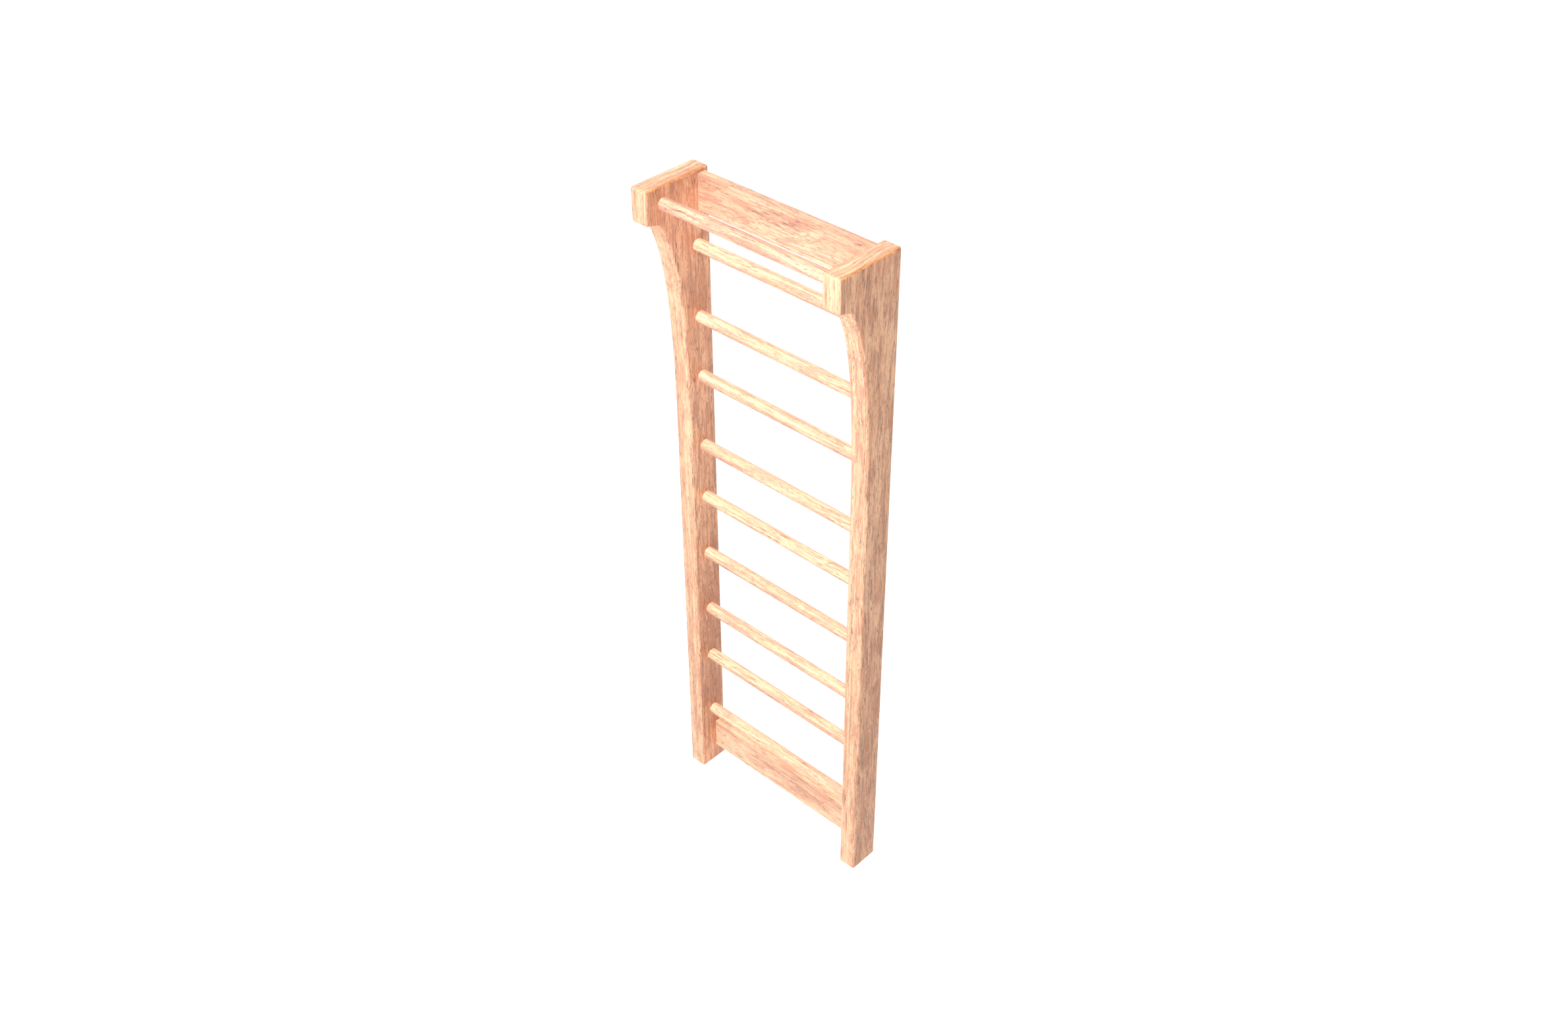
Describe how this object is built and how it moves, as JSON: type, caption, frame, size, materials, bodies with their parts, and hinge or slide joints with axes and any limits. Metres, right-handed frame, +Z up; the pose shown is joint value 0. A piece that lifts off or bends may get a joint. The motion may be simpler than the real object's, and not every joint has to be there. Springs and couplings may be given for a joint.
{
  "type": "wall bars",
  "caption": "Wooden wall bars for climbing: stiles with forward-curving square heads, round rungs between them, a rung held out in front at the top, and flat boards on the wall side.",
  "frame": {"origin": "on the floor, at the middle of the object's width and of its whole depth", "axes": "+Z up, along the stiles; +Y towards the wall; X across, along the rungs"},
  "size_m": [0.702, 0.223, 2.102],
  "materials": {
    "stile_wood": "light hardwood, clear satin lacquer",
    "rung_wood": "light hardwood, clear satin lacquer, turned",
    "board_wood": "light hardwood, clear satin lacquer",
    "pin_wood": "hardwood end grain, unfinished",
    "dowel_wood": "hardwood, unfinished"
  },
  "bodies": {
    "root": {"stile_left": "stile_wood", "stile_right": "stile_wood", "rung_01": "rung_wood", "rung_02": "rung_wood", "rung_03": "rung_wood", "rung_04": "rung_wood", "rung_05": "rung_wood", "rung_06": "rung_wood", "rung_07": "rung_wood", "rung_08": "rung_wood", "rung_09": "rung_wood", "forward_rung": "rung_wood", "top_board": "board_wood", "bottom_board": "board_wood", "rung_pin_01_left": "pin_wood", "rung_pin_02_left": "pin_wood", "rung_pin_03_left": "pin_wood", "rung_pin_04_left": "pin_wood", "rung_pin_05_left": "pin_wood", "rung_pin_06_left": "pin_wood", "rung_pin_07_left": "pin_wood", "rung_pin_08_left": "pin_wood", "rung_pin_09_left": "pin_wood", "rung_pin_01_right": "pin_wood", "rung_pin_02_right": "pin_wood", "rung_pin_03_right": "pin_wood", "rung_pin_04_right": "pin_wood", "rung_pin_05_right": "pin_wood", "rung_pin_06_right": "pin_wood", "rung_pin_07_right": "pin_wood", "rung_pin_08_right": "pin_wood", "rung_pin_09_right": "pin_wood", "top_board_dowel_left_lower": "dowel_wood", "top_board_dowel_left_upper": "dowel_wood", "top_board_dowel_right_lower": "dowel_wood", "top_board_dowel_right_upper": "dowel_wood", "bottom_board_dowel_left_lower": "dowel_wood", "bottom_board_dowel_left_upper": "dowel_wood", "bottom_board_dowel_right_lower": "dowel_wood", "bottom_board_dowel_right_upper": "dowel_wood"}
  },
  "joints": []
}
